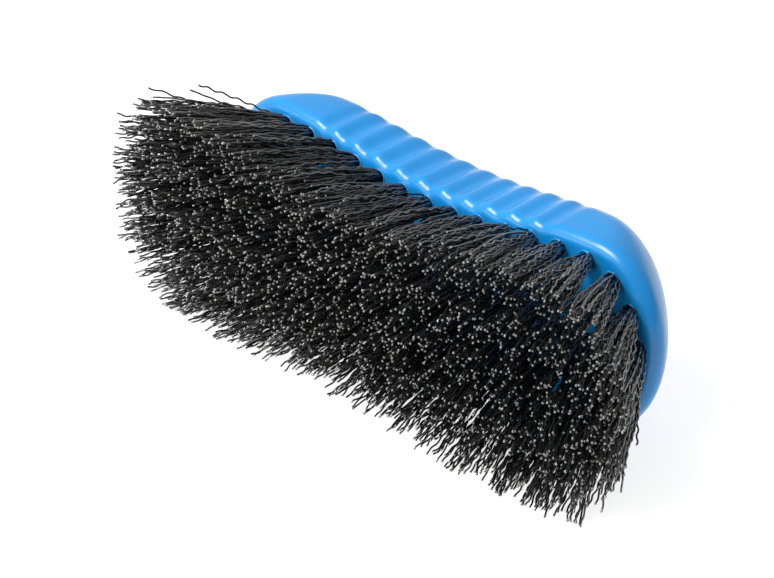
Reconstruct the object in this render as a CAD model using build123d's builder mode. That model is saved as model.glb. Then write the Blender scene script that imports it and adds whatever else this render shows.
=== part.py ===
"""Hand scrub brush: a waisted plastic block with anchor-set tufts of crimped filament.

The brush lies on its long side. X runs along the block, the tufts point to -Y and lean up a little,
and Z is up from the floor that the block's back and the lowest tufts rest on. Millimetres.
"""

from build123d import *
from math import asin, cos, degrees, pi, radians, sin, sqrt
import os

os.makedirs("parts", exist_ok=True)

# How the brush lies: the middle of its tuft face, and the lean of the tufts above horizontal.
lean = 5.0
face_y = 9.65
face_z = 35.53

# Block outline at the tuft face.
half_length = 97.5
end_length = 27.0
bulge = 34.5
waist = 28.5

# Block section: straight sides, then a crowned back that rounds over to a flat. The back slopes in
# most at the bulges and least at the waist, so it is highest in the middle of its length.
side_depth = 5.0
block_depth = 29.2
back_end_slope = 19.2
back_side_slope = 23.5
back_waist_slope = 8.6
end_fall = 1.35
side_fall = 1.95
edge_radius = 1.0

# Finger ripples on both waisted sides.
ripple_pitch = 10.0
ripples = 10
ripple_depth = 1.3
ripple_fade = 7.5

# Tuft holes and the tufts themselves.
hole_inset = 7.0
hole_radius = 2.4
hole_depth = 11.0
edge_tufts = 38
inner_columns = 15
column_pitch = 11.6
bristle_length = 45.5
end_splay = 24.2
side_splay = 8.5
stem_gap = 0.1
stem_rise = 1.5
tip_radius = 5.2

# Flat wire anchors, across the bottom of the holes.
anchor_length = 4.6
anchor_thickness = 0.45
anchor_height = 2.0
anchor_lift = 0.6

tuft_face = Plane(
    origin=(0, face_y, face_z),
    x_dir=(1, 0, 0),
    z_dir=(0, -cos(radians(lean)), sin(radians(lean))),
)


def half_width(along, side_inset=0.0, end_inset=0.0, waist_inset=0.0):
    """Half the outline's width at a place along it: a waisted middle between elliptical ends."""
    end = end_length - side_inset / 2
    straight = half_length - end_inset - end
    wide = bulge - side_inset
    narrow = waist - waist_inset
    if abs(along) > straight:
        return wide * sqrt(max(0.0, 1 - ((abs(along) - straight) / end) ** 2))
    return narrow + (wide - narrow) * (1 - cos(pi * along / straight)) / 2


def ripple(along):
    """Depth of the finger grooves: ridges half a pitch either side of the middle, fading out."""
    reach = ripple_pitch * (ripples - 0.5) / 2
    fade = min(1.0, max(0.0, 1 - (abs(along) - reach) / ripple_fade))
    return ripple_depth * fade * (1 - cos(2 * pi * (along / ripple_pitch - 0.5))) / 2


def outline(side_inset=0.0, end_inset=0.0, waist_inset=0.0, groove=0.0):
    """Closed outline, clockwise from the middle of the upper side."""
    end = end_length - side_inset / 2
    straight = half_length - end_inset - end
    rippled = 2 * ripples + 1
    places = [step * ripple_pitch / 4 for step in range(rippled + 1)]
    rest = straight - places[-1]
    places += [straight - rest * share for share in (0.67, 0.33, 0.0)]
    insets = (side_inset, end_inset, waist_inset)
    quarter = [(u, half_width(u, *insets) - groove * ripple(u)) for u in places]
    for angle in range(15, 91, 15):
        turn = radians(angle)
        quarter.append((straight + end * sin(turn), (bulge - side_inset) * cos(turn)))
    lower_right = [(u, -v) for u, v in reversed(quarter[:-1])]
    lower_left = [(-u, -v) for u, v in quarter[1:]]
    upper_left = [(-u, v) for u, v in reversed(quarter[1:-1])]
    return quarter + lower_right + lower_left + upper_left


def edge_spots():
    """Hole centres equally spaced around the face, from the middle of the upper side."""
    with BuildLine():
        loop = Spline(*outline(hole_inset, hole_inset, hole_inset), periodic=True)
    steps = [loop.length * number / edge_tufts for number in range(edge_tufts)]
    spots = [loop.position_at(step, PositionMode.LENGTH) for step in steps]
    return [(spot.X, spot.Y) for spot in spots]


def column_spots(column):
    """The three hole centres of an inner column, spread across the face at that place."""
    along = column_pitch * (column - (inner_columns - 1) / 2)
    reach = half_width(along, hole_inset, hole_inset, hole_inset)
    return [(along, reach * row / 2) for row in (1, 0, -1)]


def tip_plane(along, across):
    """Plane of a tuft's trimmed tips, square to the way the tuft fans out."""
    fan_along = sin(radians(end_splay)) * along / (half_length - hole_inset)
    fan_across = sin(radians(side_splay)) * across / (bulge - hole_inset)
    fan_out = sqrt(1 - fan_along**2 - fan_across**2)
    root = tuft_face.from_local_coords(Vector(along, across, 0))
    ahead = tuft_face.from_local_coords(Vector(along + fan_along, across + fan_across, fan_out))
    return Plane(origin=root + (ahead - root) * bristle_length, x_dir=(1, 0, 0), z_dir=ahead - root)


def back_wire(turn):
    """Outline of the crowned back at a turn, from 0 at the straight sides to 90 at the flat."""
    over = (1 - cos(radians(turn))) ** side_fall
    end_inset = back_end_slope * sin(radians(turn)) ** end_fall
    depth = side_depth + (block_depth - side_depth) * sin(radians(turn))
    points = outline(back_side_slope * over, end_inset, back_waist_slope * over, cos(radians(turn)))
    with BuildLine(tuft_face.offset(-depth)) as line:
        Spline(*points, periodic=True)
    return line.wires()[0]


def back_layer(turns):
    """The back between the first and last of some turns, as one solid."""
    return Solid.make_loft([back_wire(turn) for turn in turns])


def drilled_layer(turns, depth):
    """The back between some turns, from a depth to the bottom of the holes, drilled right through."""
    layer = back_layer(turns)
    faces = layer.faces().filter_by(GeomType.PLANE, reverse=True)
    top, bottom = layer.faces().filter_by(GeomType.PLANE).sort_by(Axis(tuft_face.origin, -tuft_face.z_dir))
    for cap, cap_depth in ((top, depth), (bottom, hole_depth)):
        places = [tuft_face.from_local_coords(Vector(u, v, -cap_depth)) for u, v in holes]
        rims = [Wire.make_circle(hole_radius, Plane(place, tuft_face.x_dir, tuft_face.z_dir)) for place in places]
        faces.append(Face(cap.outer_wire(), rims))
    for u, v in holes:
        place = tuft_face.from_local_coords(Vector(u, v, -hole_depth))
        drill = Solid.make_cylinder(hole_radius, hole_depth - depth, Plane(place, tuft_face.x_dir, tuft_face.z_dir))
        faces += drill.faces().filter_by(GeomType.CYLINDER)
    return Solid(Shell(faces))


def make_tufts(spots, label):
    """Tufts on the given holes: a stem folded over its anchor, then a flare to the trimmed tips."""
    with BuildPart() as tufts:
        for spot in spots:
            with BuildSketch(tuft_face.offset(stem_gap - hole_depth)):
                with Locations(spot):
                    Circle(hole_radius - stem_gap)
                    Rectangle(2 * hole_radius, anchor_thickness, mode=Mode.SUBTRACT)
            extrude(amount=anchor_lift + anchor_height - stem_gap)
            with BuildSketch(tuft_face.offset(anchor_lift + anchor_height - hole_depth)):
                with Locations(spot):
                    Circle(hole_radius - stem_gap)
            extrude(amount=hole_depth + stem_rise - anchor_lift - anchor_height)
            with BuildSketch(tuft_face.offset(stem_rise)):
                with Locations(spot):
                    Circle(hole_radius - stem_gap)
            with BuildSketch(tip_plane(*spot)):
                Circle(tip_radius)
            loft()
    tufts.part.label = label
    export_step(tufts.part, f"parts/{label}.step")


edges = edge_spots()
columns = [column_spots(column) for column in range(inner_columns)]
holes = edges + [spot for spots in columns for spot in spots]

# Block: a drilled slab with straight sides, then the start of the crowned back, drilled to the
# bottom of the holes, then the rest of the back up to its flat.
with BuildLine() as rim:
    Spline(*outline(groove=1.0), periodic=True)
drilled_face = Face(rim.wires()[0], [Wire.make_circle(hole_radius, Plane((u, v, 0))) for u, v in holes])
hole_share = (hole_depth - side_depth) / (block_depth - side_depth)
hole_turn = degrees(asin(hole_share))

with BuildPart() as block:
    with BuildSketch(tuft_face):
        add(drilled_face)
    extrude(amount=-side_depth)
    front_edges = block.faces().sort_by(Axis(tuft_face.origin, tuft_face.z_dir))[-1].outer_wire().edges()
    fillet(front_edges, edge_radius)
    add(drilled_layer([0, hole_turn / 2, hole_turn], side_depth))
    add(back_layer([hole_turn, 25, 40, 55, 70, 82, 90]))
block.part.label = "block"
export_step(block.part, "parts/block.step")

# Anchors: one straight piece of flat wire across the bottom of every hole.
with BuildPart(tuft_face.offset(anchor_lift - hole_depth)) as anchors:
    with Locations(*holes):
        Box(anchor_length, anchor_thickness, anchor_height, align=(Align.CENTER, Align.CENTER, Align.MIN))
anchors.part.label = "anchors"
export_step(anchors.part, "parts/anchors.step")

# Tufts: one node each around the edge, and one node per inner column of three.
for number, spot in enumerate(edges):
    make_tufts([spot], f"edge_tuft_{number + 1:02d}")
for number, spots in enumerate(columns):
    make_tufts(spots, f"inner_tufts_{number + 1:02d}")
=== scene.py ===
"""Looks of the hand scrub brush: a moulded blue block and 83 tufts of crimped black filament.

Everything is placed in the block's own directions: along its length, across its width and out the
way the tufts point, from the middle of the tuft face. These are the same as in the CAD model.
"""

import math

import bmesh
import bpy
import numpy as np
from mathutils import Matrix, Vector


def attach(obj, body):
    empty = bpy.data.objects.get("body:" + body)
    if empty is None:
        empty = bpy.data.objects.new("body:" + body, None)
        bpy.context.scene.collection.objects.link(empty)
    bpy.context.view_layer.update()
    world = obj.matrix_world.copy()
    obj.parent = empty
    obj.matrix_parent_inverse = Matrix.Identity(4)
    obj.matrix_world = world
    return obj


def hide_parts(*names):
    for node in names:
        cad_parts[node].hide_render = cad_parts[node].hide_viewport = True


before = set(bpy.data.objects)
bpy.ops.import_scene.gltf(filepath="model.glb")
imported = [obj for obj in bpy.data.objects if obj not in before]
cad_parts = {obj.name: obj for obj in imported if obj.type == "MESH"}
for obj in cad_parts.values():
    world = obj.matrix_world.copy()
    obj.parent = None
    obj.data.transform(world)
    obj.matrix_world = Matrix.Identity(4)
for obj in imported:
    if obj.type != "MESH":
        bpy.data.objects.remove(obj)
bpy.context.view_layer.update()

MM = 0.001

# The tuft face, as in the CAD model.
LEAN = math.radians(5.0)
FACE_CENTRE = np.array([0.0, 9.65, 35.53])
ALONG = np.array([1.0, 0.0, 0.0])
ACROSS = np.array([0.0, math.sin(LEAN), math.cos(LEAN)])
OUT = np.array([0.0, -math.cos(LEAN), math.sin(LEAN)])

# Block outline and section, as in the CAD model.
HALF_LENGTH = 97.5
END_LENGTH = 27.0
BULGE = 34.5
WAIST = 28.5
SIDE_DEPTH = 5.0
BLOCK_DEPTH = 29.2
BACK_END_SLOPE = 19.2
BACK_SIDE_SLOPE = 23.5
BACK_WAIST_SLOPE = 8.6
END_FALL = 1.35
SIDE_FALL = 1.95
RIPPLE_PITCH = 10.0
RIPPLES = 10
RIPPLE_DEPTH = 1.3
RIPPLE_FADE = 7.5

# Rounding of the front edge, more than the CAD model's fillet, and the lip around each hole.
EDGE_RADIUS = 4.0
LIP_RADIUS = 0.42
LIP_GAP = 0.02
LIP_FLATNESS = 0.75

# How finely the block is divided, and the angle from which its edges look sharp.
EDGE_STEPS = 12
BACK_STEPS = 40
HOLE_SIDES = 40
LIP_STEPS = 12
SHARP_ANGLE = math.radians(35)

# Tufts: holes as in the CAD model. The filaments fan out a little more than their CAD cones.
HOLE_INSET = 7.0
HOLE_RADIUS = 2.4
HOLE_DEPTH = 11.0
DRILL_CLEARANCE = 1.0
EDGE_TUFTS = 38
INNER_COLUMNS = 15
COLUMN_PITCH = 11.6
BRISTLE_LENGTH = 45.5
END_SPLAY = math.radians(30.0)
SIDE_SPLAY = math.radians(11.5)

# Filament. The number and the radius are chosen for how full the tufts look. Inside a hole this many
# strands overlap.
FILAMENTS = 54
FILAMENT_RADIUS = 0.32
TIP_FLARE = 1.22
DOME_HEIGHT = 0.14
FILAMENT_SIDES = 6
FILAMENT_POINTS = 46

# The crimp, which starts small near the hole and reaches its full size further out.
CRIMP_PERIOD = 6.2
CRIMP_SIZE = 0.34
CRIMP_START = 2.0
CRIMP_GROWTH = 7.0
LEAST_CRIMP = 0.25

# How a tuft opens from its stem to its tips, which gather in loose clumps.
STEM_SPREAD = 1.95
STEM_START = -2.5
TIP_SPREAD = 8.2
EDGE_TIP_SPREAD = 7.6
CLUMPS = 9
CLUMP_PULL = 0.4
TIP_SCATTER = 0.9
FLARE_POWER = 0.76
FLARE_START = 0.04

# Trim: most filaments are nearly full length, and a share of them is clearly shorter.
LENGTH_SPREAD = 0.02
SHORT_SHARE = 0.56
SHORTEST = 0.74
LONGEST_SHORT = 0.97

# Limits on size: tips past the first two are bent back, and lines are clipped at the others.
TIP_REACH = 117.0
TIP_HEIGHT = 40.0
BEND_BACK = 1.15
HIGHEST = 80.1
FURTHEST = 119.2
FLOOR_CLEARANCE = 1.05

# Half the side of the floor, in metres.
FLOOR_HALF = 3.0


# ---------------------------------------------------------------- shape of the block


def half_width(along, side_inset=0.0, end_inset=0.0, waist_inset=0.0):
    """Half the outline's width at a place along it: a waisted middle between elliptical ends."""
    end = END_LENGTH - side_inset / 2
    straight = HALF_LENGTH - end_inset - end
    wide = BULGE - side_inset
    narrow = WAIST - waist_inset
    if abs(along) > straight:
        return wide * math.sqrt(max(0.0, 1 - ((abs(along) - straight) / end) ** 2))
    return narrow + (wide - narrow) * (1 - math.cos(math.pi * along / straight)) / 2


def ripple(along):
    """Depth of the finger grooves: ridges half a pitch either side of the middle, fading out."""
    reach = RIPPLE_PITCH * (RIPPLES - 0.5) / 2
    fade = min(1.0, max(0.0, 1 - (abs(along) - reach) / RIPPLE_FADE))
    return RIPPLE_DEPTH * fade * (1 - math.cos(2 * math.pi * (along / RIPPLE_PITCH - 0.5))) / 2


def outline(side_inset=0.0, end_inset=0.0, waist_inset=0.0, groove=0.0, side_steps=150, end_steps=40):
    """Closed outline as an array, clockwise from the middle of the upper side."""
    end = END_LENGTH - side_inset / 2
    straight = HALF_LENGTH - end_inset - end
    quarter = []
    for step in range(side_steps + 1):
        along = straight * step / side_steps
        width = half_width(along, side_inset, end_inset, waist_inset)
        quarter.append((along, width - groove * ripple(along)))
    for step in range(1, end_steps + 1):
        turn = math.pi / 2 * step / end_steps
        quarter.append((straight + end * math.sin(turn), (BULGE - side_inset) * math.cos(turn)))
    lower_right = [(u, -v) for u, v in reversed(quarter[:-1])]
    lower_left = [(-u, -v) for u, v in quarter[1:]]
    upper_left = [(-u, v) for u, v in reversed(quarter[1:-1])]
    return np.array(quarter + lower_right + lower_left + upper_left)


def block_levels():
    """Outlines and their depths, from the tuft face round the edge and over the crowned back."""
    levels = []
    for step in range(EDGE_STEPS + 1):
        turn = math.pi / 2 * step / EDGE_STEPS
        inset = EDGE_RADIUS * (1 - math.sin(turn))
        levels.append((EDGE_RADIUS * (1 - math.cos(turn)), outline(inset, inset, inset, 1.0)))
    for step in range(BACK_STEPS + 1):
        turn = math.pi / 2 * step / BACK_STEPS
        over = (1 - math.cos(turn)) ** SIDE_FALL
        end_inset = BACK_END_SLOPE * math.sin(turn) ** END_FALL
        depth = SIDE_DEPTH + (BLOCK_DEPTH - SIDE_DEPTH) * math.sin(turn)
        ring = outline(BACK_SIDE_SLOPE * over, end_inset, BACK_WAIST_SLOPE * over, math.cos(turn))
        levels.append((depth, ring))
    return levels


def place(points):
    """Block coordinates in millimetres, as rows of along, across, out, to metres in the frame."""
    points = np.asarray(points, dtype=float)
    world = FACE_CENTRE + points[..., :1] * ALONG + points[..., 1:2] * ACROSS + points[..., 2:3] * OUT
    return world * MM


def edge_spots():
    """Hole centres equally spaced around the face, from the middle of the upper side."""
    ring = outline(HOLE_INSET, HOLE_INSET, HOLE_INSET)
    closed = np.vstack([ring, ring[:1]])
    run = np.concatenate([[0.0], np.cumsum(np.linalg.norm(np.diff(closed, axis=0), axis=1))])
    steps = run[-1] * np.arange(EDGE_TUFTS) / EDGE_TUFTS
    return [(np.interp(step, run, closed[:, 0]), np.interp(step, run, closed[:, 1])) for step in steps]


def column_spots(column):
    """The three hole centres of an inner column, spread across the face at that place."""
    along = COLUMN_PITCH * (column - (INNER_COLUMNS - 1) / 2)
    reach = half_width(along, HOLE_INSET, HOLE_INSET, HOLE_INSET)
    return [(along, reach * row / 2) for row in (1, 0, -1)]


# ---------------------------------------------------------------- meshes


def link(name, mesh, materials):
    """A new object for a mesh, riding on the brush's only body."""
    piece = bpy.data.objects.new(name, mesh)
    bpy.context.scene.collection.objects.link(piece)
    for material in materials:
        mesh.materials.append(material)
    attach(piece, "root")
    return piece


def turned(spot, profile):
    """A closed profile of radius and height turned about a hole's axis, as points and faces."""
    rows = []
    for radius, out in profile:
        for side in range(HOLE_SIDES):
            turn = 2 * math.pi * side / HOLE_SIDES
            rows.append((spot[0] + radius * math.cos(turn), spot[1] + radius * math.sin(turn), out))
    faces = []
    for level in range(len(profile)):
        after = (level + 1) % len(profile)
        for side in range(HOLE_SIDES):
            beside = (side + 1) % HOLE_SIDES
            faces.append((
                level * HOLE_SIDES + side,
                level * HOLE_SIDES + beside,
                after * HOLE_SIDES + beside,
                after * HOLE_SIDES + side,
            ))
    return rows, faces


def hole_cutter(spot):
    """A drill for one hole: the turned wall, closed at both ends."""
    rows, faces = turned(spot, [(HOLE_RADIUS, DRILL_CLEARANCE), (HOLE_RADIUS, -HOLE_DEPTH)])
    wall = faces[:HOLE_SIDES]
    mouth = tuple(reversed(range(HOLE_SIDES)))
    bottom = tuple(HOLE_SIDES + side for side in range(HOLE_SIDES))
    return rows, [*wall, mouth, bottom]


def hole_lip(spot):
    """The rounded lip around one hole, sunk a little into the face."""
    profile = []
    for step in range(LIP_STEPS):
        turn = 2 * math.pi * step / LIP_STEPS
        profile.append((
            HOLE_RADIUS + LIP_RADIUS + LIP_GAP + LIP_RADIUS * math.cos(turn),
            LIP_FLATNESS * LIP_RADIUS * math.sin(turn),
        ))
    return turned(spot, profile)


def joined(parts):
    """Points and faces of several parts as one list of each."""
    all_rows = []
    all_faces = []
    for rows, faces in parts:
        start = len(all_rows)
        all_rows += rows
        all_faces += [tuple(start + corner for corner in face) for face in faces]
    return all_rows, all_faces


def face_outwards(mesh):
    """Turns a closed mesh's faces so that they all look outwards."""
    work = bmesh.new()
    work.from_mesh(mesh)
    bmesh.ops.recalc_face_normals(work, faces=work.faces)
    work.to_mesh(mesh)
    work.free()


def undrilled_mesh():
    """The block before drilling: its rounded edge, ripples and crowned back."""
    levels = block_levels()
    count = len(levels[0][1])
    rows = [(u, v, -depth) for depth, ring in levels for u, v in ring]
    faces = []
    for level in range(len(levels) - 1):
        for step in range(count):
            a = level * count + step
            b = level * count + (step + 1) % count
            faces.append((a, a + count, b + count, b))
    faces.append(tuple(range(count)))
    faces.append(tuple((len(levels) - 1) * count + step for step in reversed(range(count))))
    mesh = bpy.data.meshes.new("block_body")
    mesh.from_pydata(place(rows).tolist(), [], faces)
    face_outwards(mesh)
    return mesh


def make_block(spots, material):
    """The moulded block, drilled for every tuft."""
    piece = link("block_body", undrilled_mesh(), [material])
    rows, faces = joined([hole_cutter(spot) for spot in spots])
    drill_mesh = bpy.data.meshes.new("drill")
    drill_mesh.from_pydata(place(rows).tolist(), [], faces)
    face_outwards(drill_mesh)
    drill = bpy.data.objects.new("drill", drill_mesh)
    bpy.context.scene.collection.objects.link(drill)
    cut = piece.modifiers.new("drilling", "BOOLEAN")
    cut.object = drill
    cut.operation = "DIFFERENCE"
    cut.solver = "EXACT"
    drilled = bpy.data.meshes.new_from_object(piece.evaluated_get(bpy.context.evaluated_depsgraph_get()))
    piece.modifiers.clear()
    piece.data = drilled
    drilled.name = "block_body"
    bpy.data.objects.remove(drill)
    add_lips(drilled, spots)
    smooth_by_angle(drilled, SHARP_ANGLE)
    return piece


def add_lips(mesh, spots):
    """Joins the lips around the holes to the block's mesh."""
    rows, faces = joined([hole_lip(spot) for spot in spots])
    work = bmesh.new()
    work.from_mesh(mesh)
    corners = [work.verts.new(point) for point in place(rows).tolist()]
    lips = [work.faces.new([corners[corner] for corner in face]) for face in faces]
    bmesh.ops.recalc_face_normals(work, faces=lips)
    work.to_mesh(mesh)
    work.free()


def smooth_by_angle(mesh, limit):
    """Smooth shading, with edges kept sharp where the faces meet at more than an angle."""
    work = bmesh.new()
    work.from_mesh(mesh)
    for face in work.faces:
        face.smooth = True
    for edge in work.edges:
        if len(edge.link_faces) == 2:
            edge.smooth = edge.calc_face_angle(0.0) < limit
    work.to_mesh(mesh)
    work.free()


# ---------------------------------------------------------------- filaments


def fan(spot):
    """Unit direction of a tuft, which fans out towards the ends and sides of the face."""
    along = math.sin(END_SPLAY) * spot[0] / (HALF_LENGTH - HOLE_INSET)
    across = math.sin(SIDE_SPLAY) * spot[1] / (BULGE - HOLE_INSET)
    return np.array([along, across, math.sqrt(1 - along**2 - across**2)])


def tuft_lines(rng, spot, on_edge):
    """Centre lines of a tuft's filaments: tight in the hole, then a quick flare that slows down."""
    number = np.arange(FILAMENTS)
    turn = number * math.pi * (3 - math.sqrt(5)) + rng.uniform(0, 2 * math.pi)
    share = np.sqrt((number + 0.5) / FILAMENTS)
    stem = STEM_SPREAD * share[:, None] * np.stack([np.cos(turn), np.sin(turn)], axis=1)

    spread = EDGE_TIP_SPREAD if on_edge else TIP_SPREAD
    reach = spread * share * rng.uniform(0.88, 1.14, FILAMENTS)
    turn = turn + rng.normal(0, 0.3, FILAMENTS)
    tip = reach[:, None] * np.stack([np.cos(turn), np.sin(turn)], axis=1)
    centres = spread * 0.9 * np.sqrt(rng.uniform(0, 1, (CLUMPS, 1))) * unit_rows(rng, CLUMPS)
    nearest = np.argmin(((tip[:, None] - centres[None]) ** 2).sum(-1), axis=1)
    tip += rng.uniform(0.0, CLUMP_PULL, (FILAMENTS, 1)) * (centres[nearest] - tip)
    tip += rng.normal(0, TIP_SCATTER, (FILAMENTS, 2))

    length = BRISTLE_LENGTH * (1.0 - np.abs(rng.normal(0, LENGTH_SPREAD, FILAMENTS)))
    is_short = rng.uniform(0, 1, FILAMENTS) < SHORT_SHARE
    length *= np.where(is_short, rng.uniform(SHORTEST, LONGEST_SHORT, FILAMENTS), 1.0)
    end = np.array(spot) + fan(spot)[:2] * length[:, None] + tip
    over = np.maximum(np.abs(end) - [TIP_REACH, TIP_HEIGHT], 0)
    tip -= BEND_BACK * np.sign(end) * over

    s = np.linspace(0, 1, FILAMENT_POINTS)[None, :, None]
    flare = np.clip((s - FLARE_START) / (1 - FLARE_START), 0, 1) ** FLARE_POWER
    middle = np.array([spot[0], spot[1], 0.0]) + s * fan(spot) * length[:, None, None]
    middle[..., 2] += STEM_START * (1 - s[..., 0])
    middle[..., :2] += stem[:, None] * (1 - flare) + tip[:, None] * flare
    return crimped(rng, middle)


def unit_rows(rng, count):
    """Random unit vectors in the plane, one a row."""
    turn = rng.uniform(0, 2 * math.pi, count)
    return np.stack([np.cos(turn), np.sin(turn)], axis=1)


def crimped(rng, lines, bow=1.0):
    """The lines with a slow bow of their own and the crimp's even wave added."""
    count = len(lines)
    run = np.linalg.norm(np.diff(lines, axis=1), axis=2)
    along = np.concatenate([np.zeros((count, 1)), np.cumsum(run, axis=1)], axis=1)
    s = along / along[:, -1:]
    side = unit_rows(rng, count)
    other = np.stack([-side[:, 1], side[:, 0]], axis=1)
    slow = rng.normal(0, 0.9 * bow, (count, 1)) * np.sin(math.pi * s)
    slow += rng.normal(0, 0.45 * bow, (count, 1)) * np.sin(2 * math.pi * s)
    wander = rng.normal(0, 0.7 * bow, (count, 1)) * np.sin(math.pi * s)
    wander += rng.normal(0, 0.3 * bow, (count, 1)) * np.sin(3 * math.pi * s)
    period = CRIMP_PERIOD * rng.uniform(0.88, 1.12, (count, 1))
    grow = np.clip((along - CRIMP_START) / CRIMP_GROWTH, LEAST_CRIMP, 1.0)
    size = CRIMP_SIZE * rng.uniform(0.7, 1.25, (count, 1)) * grow
    phase = rng.uniform(0, 2 * math.pi, (count, 1))
    crimp = size * np.sin(2 * math.pi * along / period + phase)
    twist = wander + 0.25 * size * np.sin(2 * math.pi * along / (period * 1.9) + 2 * phase)
    lines = lines.copy()
    lines[..., :2] += (slow + crimp)[..., None] * side[:, None] + twist[..., None] * other[:, None]
    return lines


def filament_mesh(name, lines, shades):
    """Six-sided tubes along the lines, closed by a slightly domed cut tip with its own material."""
    count, points, _ = lines.shape
    centre = place(lines)
    lift = FLOOR_CLEARANCE * TIP_FLARE * FILAMENT_RADIUS * MM
    centre[..., 2] = np.clip(centre[..., 2], lift, HIGHEST * MM)
    centre[..., 0] = np.clip(centre[..., 0], -FURTHEST * MM, FURTHEST * MM)
    tangent = np.gradient(centre, axis=1)
    tangent /= np.linalg.norm(tangent, axis=2, keepdims=True)
    first = np.cross(tangent, ACROSS)
    first /= np.linalg.norm(first, axis=2, keepdims=True)
    second = np.cross(tangent, first)
    turn = 2 * math.pi * np.arange(FILAMENT_SIDES) / FILAMENT_SIDES
    ring = (
        np.cos(turn)[:, None] * first[:, :, None] + np.sin(turn)[:, None] * second[:, :, None]
    ) * FILAMENT_RADIUS * MM
    ring[:, -1] *= TIP_FLARE
    tubes = centre[:, :, None] + ring
    domes = centre[:, -1] + tangent[:, -1] * DOME_HEIGHT * MM
    per_tube = points * FILAMENT_SIDES
    verts = np.concatenate([tubes.reshape(count, per_tube, 3), domes[:, None]], axis=1)

    step = np.arange(points - 1)[:, None] * FILAMENT_SIDES
    side = np.arange(FILAMENT_SIDES)[None]
    after = (side + 1) % FILAMENT_SIDES
    next_side = step + side + FILAMENT_SIDES
    next_after = step + after + FILAMENT_SIDES
    quads = np.stack([step + side, step + after, next_after, next_side], -1).reshape(-1, 4)
    last = (points - 1) * FILAMENT_SIDES
    tip = np.full(FILAMENT_SIDES, per_tube)
    tips = np.stack([last + side[0], last + after[0], tip], -1)
    starts = np.arange(count)[:, None, None] * (per_tube + 1)
    all_quads = (quads[None] + starts).reshape(-1)
    all_tips = (tips[None] + starts).reshape(-1)

    mesh = bpy.data.meshes.new(name)
    mesh.vertices.add(count * (per_tube + 1))
    mesh.vertices.foreach_set("co", verts.reshape(-1))
    corners = np.concatenate([all_quads, all_tips]).astype(np.int32)
    mesh.loops.add(len(corners))
    mesh.loops.foreach_set("vertex_index", corners)
    quad_count = len(all_quads) // 4
    tip_count = len(all_tips) // 3
    split = [quad_count, tip_count]
    loop_start = np.concatenate([np.arange(quad_count) * 4, quad_count * 4 + np.arange(tip_count) * 3])
    mesh.polygons.add(quad_count + tip_count)
    mesh.polygons.foreach_set("loop_start", loop_start.astype(np.int32))
    mesh.polygons.foreach_set("material_index", np.repeat([0, 1], split).astype(np.int32))
    mesh.polygons.foreach_set("use_smooth", np.repeat([True, False], split))
    mesh.update(calc_edges=True)
    shade = mesh.attributes.new("shade", "FLOAT", "POINT")
    shade.data.foreach_set("value", np.repeat(shades, per_tube + 1))
    return mesh


def make_tufts(name, node, spots, on_edge, seed, materials):
    """The filaments of one CAD node's tufts, as one piece that stands in for it."""
    rng = np.random.default_rng(seed)
    lines = np.concatenate([tuft_lines(rng, spot, on_edge) for spot in spots])
    shades = rng.uniform(0, 1, len(lines))
    piece = link(name, filament_mesh(name, lines, shades), materials)
    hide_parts(node)


def make_strays(materials):
    """The few long filaments that have sprung away from the tufts towards the -X end."""
    rng = np.random.default_rng(77)
    hairs = [
        ((-66.0, 28.0, -1.0), (-89.0, 42.0, 22.0)),
        ((-68.0, 27.0, -1.0), (-87.5, 42.0, 27.0)),
        ((-78.0, 25.0, -1.0), (-100.5, 41.0, 35.0)),
        ((-89.0, 12.0, -1.0), (-114.5, 27.0, 38.0)),
        ((-90.0, 6.0, -1.0), (-117.0, 13.0, 38.0)),
        ((-90.0, 1.0, -1.0), (-117.5, -1.0, 39.0)),
    ]
    roots = np.array([root for root, tip in hairs])[:, None]
    tips = np.array([tip for root, tip in hairs])[:, None]
    s = np.linspace(0, 1, FILAMENT_POINTS)[None, :, None]
    lines = crimped(rng, roots + (tips - roots) * s, bow=1.5)
    mesh = filament_mesh("stray_filaments", lines, np.full(len(hairs), 0.3))
    piece = link("stray_filaments", mesh, materials)


# ---------------------------------------------------------------- materials


def new_material(name):
    """A material with a Principled shader, and handles for its nodes and links."""
    material = bpy.data.materials.new(name)
    material.use_nodes = True
    nodes = material.node_tree.nodes
    return material, nodes, material.node_tree.links, nodes["Principled BSDF"]


def noise(nodes, links, scale, detail, coords):
    """A noise texture in object coordinates, which are metres."""
    texture = nodes.new("ShaderNodeTexNoise")
    texture.inputs["Scale"].default_value = scale
    texture.inputs["Detail"].default_value = detail
    links.new(coords, texture.inputs["Vector"])
    return texture.outputs["Fac"]


def ramp(nodes, links, factor, low, high, start=0.3, end=0.7):
    """A colour ramp between two colours."""
    node = nodes.new("ShaderNodeValToRGB")
    node.color_ramp.elements[0].position = start
    node.color_ramp.elements[0].color = (*low, 1)
    node.color_ramp.elements[1].position = end
    node.color_ramp.elements[1].color = (*high, 1)
    links.new(factor, node.inputs["Fac"])
    return node.outputs["Color"]


def map_range(nodes, links, value, low, high):
    """A value from 0 to 1 stretched to a range."""
    node = nodes.new("ShaderNodeMapRange")
    node.inputs["To Min"].default_value = low
    node.inputs["To Max"].default_value = high
    links.new(value, node.inputs["Value"])
    return node.outputs["Result"]


def bump(nodes, links, height, distance, strength, before=None):
    """A bump node, chained after another if one is given."""
    node = nodes.new("ShaderNodeBump")
    node.inputs["Distance"].default_value = distance
    node.inputs["Strength"].default_value = strength
    links.new(height, node.inputs["Height"])
    if before is not None:
        links.new(before, node.inputs["Normal"])
    return node.outputs["Normal"]


def strand_color(nodes, links, low, high):
    """A colour that runs from low to high with each strand's own shade, and the shade itself."""
    strand = nodes.new("ShaderNodeAttribute")
    strand.attribute_name = "shade"
    return ramp(nodes, links, strand.outputs["Fac"], low, high, 0.0, 1.0), strand.outputs["Fac"]


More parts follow.
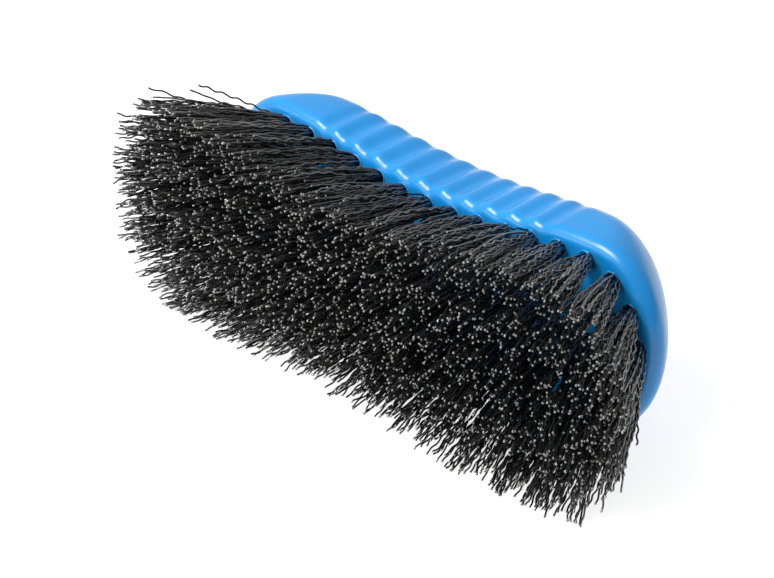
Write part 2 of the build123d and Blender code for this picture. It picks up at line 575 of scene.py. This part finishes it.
def block_material():
    """Bright blue moulded polypropylene: satin gloss, faint flow mottle and fine handling marks."""
    material, nodes, links, shader = new_material("blue_moulded_plastic")
    coords = nodes.new("ShaderNodeTexCoord").outputs["Object"]
    mottle = noise(nodes, links, 28, 4, coords)
    color = ramp(nodes, links, mottle, (0.004, 0.205, 0.53), (0.006, 0.23, 0.58))
    links.new(color, shader.inputs["Base Color"])
    wear = noise(nodes, links, 160, 6, coords)
    links.new(map_range(nodes, links, wear, 0.2, 0.36), shader.inputs["Roughness"])
    sink = bump(nodes, links, mottle, 0.0006, 0.12)
    grain = bump(nodes, links, noise(nodes, links, 2600, 3, coords), 0.00003, 0.25, sink)
    links.new(grain, shader.inputs["Normal"])
    shader.inputs["IOR"].default_value = 1.5
    return material


def bristle_material():
    """Black crimped filament: glossy, with a shine that varies from strand to strand.

    The index of refraction is above that of real plastic, so that thin strands still show glints.
    """
    material, nodes, links, shader = new_material("black_filament")
    coords = nodes.new("ShaderNodeTexCoord").outputs["Object"]
    color, shade = strand_color(nodes, links, (0.002, 0.002, 0.002), (0.016, 0.0155, 0.015))
    links.new(color, shader.inputs["Base Color"])
    wear = noise(nodes, links, 700, 3, coords)
    links.new(map_range(nodes, links, wear, 0.2, 0.36), shader.inputs["Roughness"])
    links.new(map_range(nodes, links, shade, 0.08, 0.95), shader.inputs["Specular IOR Level"])
    grain = bump(nodes, links, noise(nodes, links, 4000, 2, coords), 0.00002, 0.3)
    links.new(grain, shader.inputs["Normal"])
    shader.inputs["IOR"].default_value = 2.1
    return material


def tip_material():
    """Cut ends of the filament, paler where the cutter has bruised them."""
    material, nodes, links, shader = new_material("cut_filament_tips")
    color, _ = strand_color(nodes, links, (0.05, 0.05, 0.05), (0.18, 0.18, 0.175))
    links.new(color, shader.inputs["Base Color"])
    shader.inputs["Roughness"].default_value = 0.55
    return material


def wire_material():
    """Drawn flat steel wire, with fine lines from the die."""
    material, nodes, links, shader = new_material("drawn_anchor_wire")
    coords = nodes.new("ShaderNodeTexCoord").outputs["Object"]
    lines = noise(nodes, links, 3000, 2, coords)
    links.new(ramp(nodes, links, lines, (0.5, 0.5, 0.5), (0.66, 0.65, 0.63)), shader.inputs["Base Color"])
    links.new(map_range(nodes, links, lines, 0.25, 0.42), shader.inputs["Roughness"])
    shader.inputs["Metallic"].default_value = 1.0
    return material


def floor_material():
    """Matt floor that glows, so that it stays white under the brush."""
    material, nodes, links, shader = new_material("white_sweep")
    shader.inputs["Base Color"].default_value = (0.35, 0.35, 0.35, 1)
    shader.inputs["Roughness"].default_value = 0.9
    shader.inputs["Emission Color"].default_value = (1, 1, 1, 1)
    shader.inputs["Emission Strength"].default_value = 0.78
    return material


# ---------------------------------------------------------------- studio


def make_floor():
    """A large pale floor under the brush."""
    half = FLOOR_HALF
    corners = [(-half, -half, 0), (half, -half, 0), (half, half, 0), (-half, half, 0)]
    mesh = bpy.data.meshes.new("floor")
    mesh.from_pydata(corners, [], [(0, 1, 2, 3)])
    mesh.materials.append(floor_material())
    floor = bpy.data.objects.new("floor", mesh)
    bpy.context.scene.collection.objects.link(floor)


def make_area_light(name, place_mm, target_mm, size, power):
    """A rectangular softbox at a place, facing a target."""
    light = bpy.data.lights.new(name, "AREA")
    light.shape = "RECTANGLE"
    light.size, light.size_y = size
    light.energy = power
    lamp = bpy.data.objects.new(name, light)
    lamp.location = Vector(place_mm) * MM
    facing = Vector(target_mm) * MM - lamp.location
    lamp.rotation_euler = facing.to_track_quat("-Z", "Y").to_euler()
    bpy.context.scene.collection.objects.link(lamp)


def make_studio():
    """Surroundings brightest high on the left, a softbox high in front and a broad low fill."""
    world = bpy.data.worlds.new("studio")
    world.use_nodes = True
    background = world.node_tree.nodes["Background"]
    background.inputs["Color"].default_value = (1, 1, 1, 1)
    nodes = world.node_tree.nodes
    links = world.node_tree.links
    toward = nodes.new("ShaderNodeVectorMath")
    toward.operation = "DOT_PRODUCT"
    toward.inputs[1].default_value = (-0.70, 0.15, 0.70)
    links.new(nodes.new("ShaderNodeTexCoord").outputs["Generated"], toward.inputs[0])
    glow = nodes.new("ShaderNodeMapRange")
    glow.inputs["From Min"].default_value = -0.6
    glow.inputs["From Max"].default_value = 1.0
    glow.inputs["To Min"].default_value = 0.22
    glow.inputs["To Max"].default_value = 0.78
    links.new(toward.outputs["Value"], glow.inputs["Value"])
    links.new(glow.outputs["Result"], background.inputs["Strength"])
    bpy.context.scene.world = world
    bpy.context.scene.view_settings.view_transform = "Standard"
    centre = (0, 0, 35)
    make_area_light("key", (-200, -450, 870), centre, (0.5, 0.36), 11.0)
    make_area_light("front_fill", (-300, -1300, 260), centre, (2.0, 0.9), 26.0)


def make_camera():
    """The viewing angle, from the brush's right front and above."""
    azimuth = math.radians(45.23)
    elevation = math.radians(33.48)
    roll = math.radians(2.33)
    distance = 707.3
    target = Vector((-5.5, -3.3, 27.7))
    ahead = Vector((
        -math.sin(azimuth) * math.cos(elevation),
        math.cos(azimuth) * math.cos(elevation),
        -math.sin(elevation),
    ))
    data = bpy.data.cameras.new("camera")
    data.lens = 97.06
    data.sensor_width = 36.0
    data.clip_start = 0.01
    data.clip_end = 20.0
    camera = bpy.data.objects.new("camera", data)
    turn = ahead.to_track_quat("-Z", "Y").to_matrix() @ Matrix.Rotation(-roll, 3, "Z")
    camera.rotation_euler = turn.to_euler()
    camera.location = (target - ahead * distance) * MM
    bpy.context.scene.collection.objects.link(camera)
    bpy.context.scene.camera = camera


# ---------------------------------------------------------------- the brush

make_camera()
make_studio()
make_floor()

bristle = [bristle_material(), tip_material()]
edges = edge_spots()
columns = [column_spots(column) for column in range(INNER_COLUMNS)]

block = make_block(edges + [spot for spots in columns for spot in spots], block_material())
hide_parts("block")

wire = wire_material()
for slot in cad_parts["anchors"].material_slots:
    slot.material = wire

for number, spot in enumerate(edges):
    node = f"edge_tuft_{number + 1:02d}"
    make_tufts(f"{node}_filaments", node, [spot], True, 100 + number, bristle)
for number, spots in enumerate(columns):
    node = f"inner_tufts_{number + 1:02d}"
    make_tufts(f"{node}_filaments", node, spots, False, 200 + number, bristle)
make_strays(bristle)
